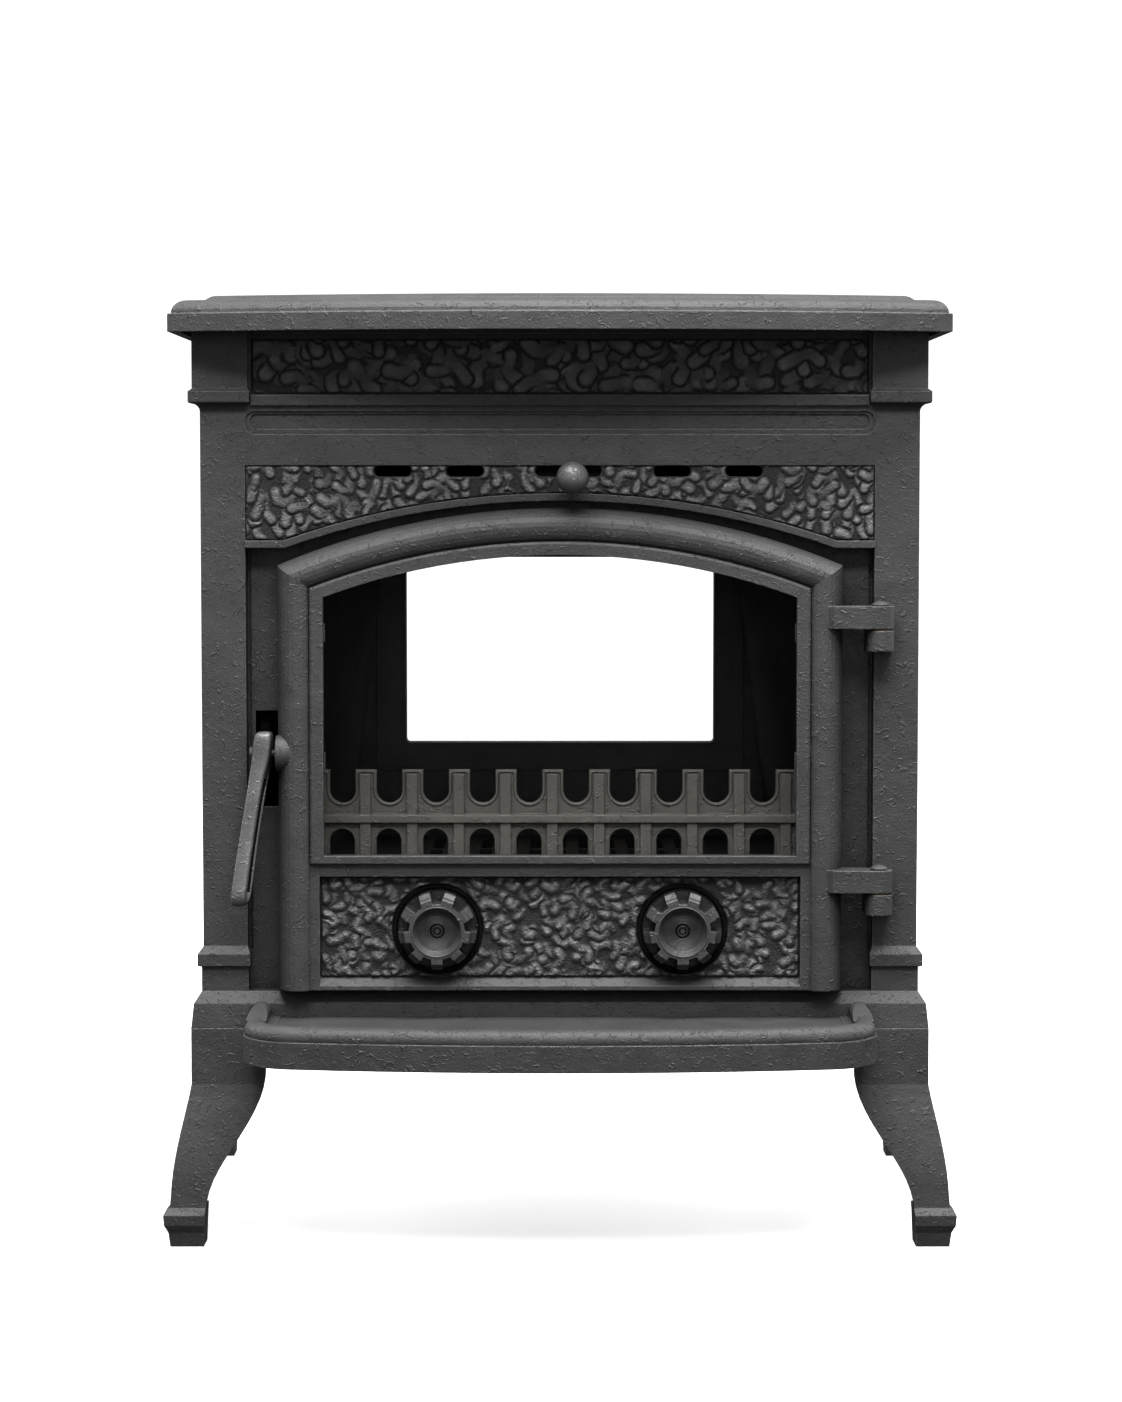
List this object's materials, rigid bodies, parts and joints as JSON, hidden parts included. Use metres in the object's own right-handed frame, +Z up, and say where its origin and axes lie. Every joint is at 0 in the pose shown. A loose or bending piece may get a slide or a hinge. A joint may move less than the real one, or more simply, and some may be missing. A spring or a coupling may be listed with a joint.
{
  "type": "cast iron wood stove",
  "caption": "Freestanding cast iron wood stove with a bowed top, arched glass door, screw-type air dials, an air slide, ash lip and curved legs.",
  "frame": {"origin": "on the floor, under the centre of the overall box", "axes": "+Z up, the door faces -Y, +X to the right as seen from the front"},
  "size_m": [0.6064, 0.482, 0.725],
  "materials": {
    "outer_iron": "matt anthracite stove paint over cast grain",
    "firebox_iron": "sooty bare casting",
    "fence_iron": "bare casting, brownish grey",
    "satin_iron": "satin grey, rubbed smooth",
    "steel": "plain zinc-grey steel",
    "brass": "dull turned brass",
    "glass": "clear ceramic glass",
    "gasket": "flat woven glass-fibre tape",
    "rope": "knitted glass-fibre rope"
  },
  "bodies": {
    "stove": {"top_plate": "outer_iron", "front_frame": "outer_iron", "left_side": "outer_iron", "right_side": "outer_iron", "rear_wall": "outer_iron", "base_plate": "outer_iron", "leg_front_left": "outer_iron", "leg_front_right": "outer_iron", "leg_rear_left": "outer_iron", "leg_rear_right": "outer_iron", "tie_rods": "steel", "tie_rod_nuts": "steel", "ash_lip": "outer_iron", "ash_lip_bolts": "steel", "fire_floor": "firebox_iron", "grate": "firebox_iron", "log_fence": "fence_iron", "left_liner": "firebox_iron", "right_liner": "firebox_iron", "baffle_plate": "firebox_iron", "ash_pan": "steel", "rear_glass": "glass", "rear_glass_gasket": "gasket", "rear_glass_frame": "outer_iron", "rear_glass_screws": "steel", "flue_collar": "outer_iron", "flue_collar_bolts": "steel", "slide_guides": "steel", "slide_guide_screws": "steel", "hinge_pins": "steel", "hinge_washers": "brass"},
    "door": {"door_frame": "outer_iron", "door_glass": "glass", "door_glass_gasket": "gasket", "glass_clips": "steel", "glass_clip_screws": "steel", "door_rope_seal": "rope", "handle_pin": "steel", "left_dial_stud": "steel", "right_dial_stud": "steel", "dial_stud_nuts": "steel"},
    "handle": {"handle": "satin_iron"},
    "left_insert": {"left_dial_insert": "steel"},
    "left_dial": {"left_dial": "outer_iron"},
    "right_insert": {"right_dial_insert": "steel"},
    "right_dial": {"right_dial": "outer_iron"},
    "air_slide": {"air_slide": "steel", "slide_rod": "steel", "slide_ball": "satin_iron"}
  },
  "joints": [
    {"name": "door_hinge", "type": "hinge", "parent": "stove", "child": "door", "pos_m": [0.243, -0.138, 0], "axis": [0, 0, 1], "range_deg": [0, 110]},
    {"name": "handle_lift", "type": "hinge", "parent": "door", "child": "handle", "pos_m": [-0.2215, -0.133, 0.378], "axis": [-1, 0, 0], "range_deg": [0, 70]},
    {"name": "air_slide_travel", "type": "slide", "parent": "stove", "child": "air_slide", "axis": [1, 0, 0], "range_m": [-0.024, 0.017]},
    {"name": "left_dial_advance", "type": "slide", "parent": "door", "child": "left_insert", "axis": [0, -1, 0], "range_m": [0, 0.008]},
    {"name": "left_dial_turn", "type": "hinge", "parent": "left_insert", "child": "left_dial", "pos_m": [-0.0935, -0.136, 0.243], "axis": [0, -1, 0], "range_deg": [0, 1440]},
    {"name": "right_dial_advance", "type": "slide", "parent": "door", "child": "right_insert", "axis": [0, -1, 0], "range_m": [0, 0.008]},
    {"name": "right_dial_turn", "type": "hinge", "parent": "right_insert", "child": "right_dial", "pos_m": [0.0935, -0.136, 0.243], "axis": [0, -1, 0], "range_deg": [0, 1440]}
  ],
  "couplings": [
    {"joint": "left_dial_advance", "follows": "left_dial_turn", "m_per_rad": 0.0003183},
    {"joint": "right_dial_advance", "follows": "right_dial_turn", "m_per_rad": 0.0003183}
  ]
}
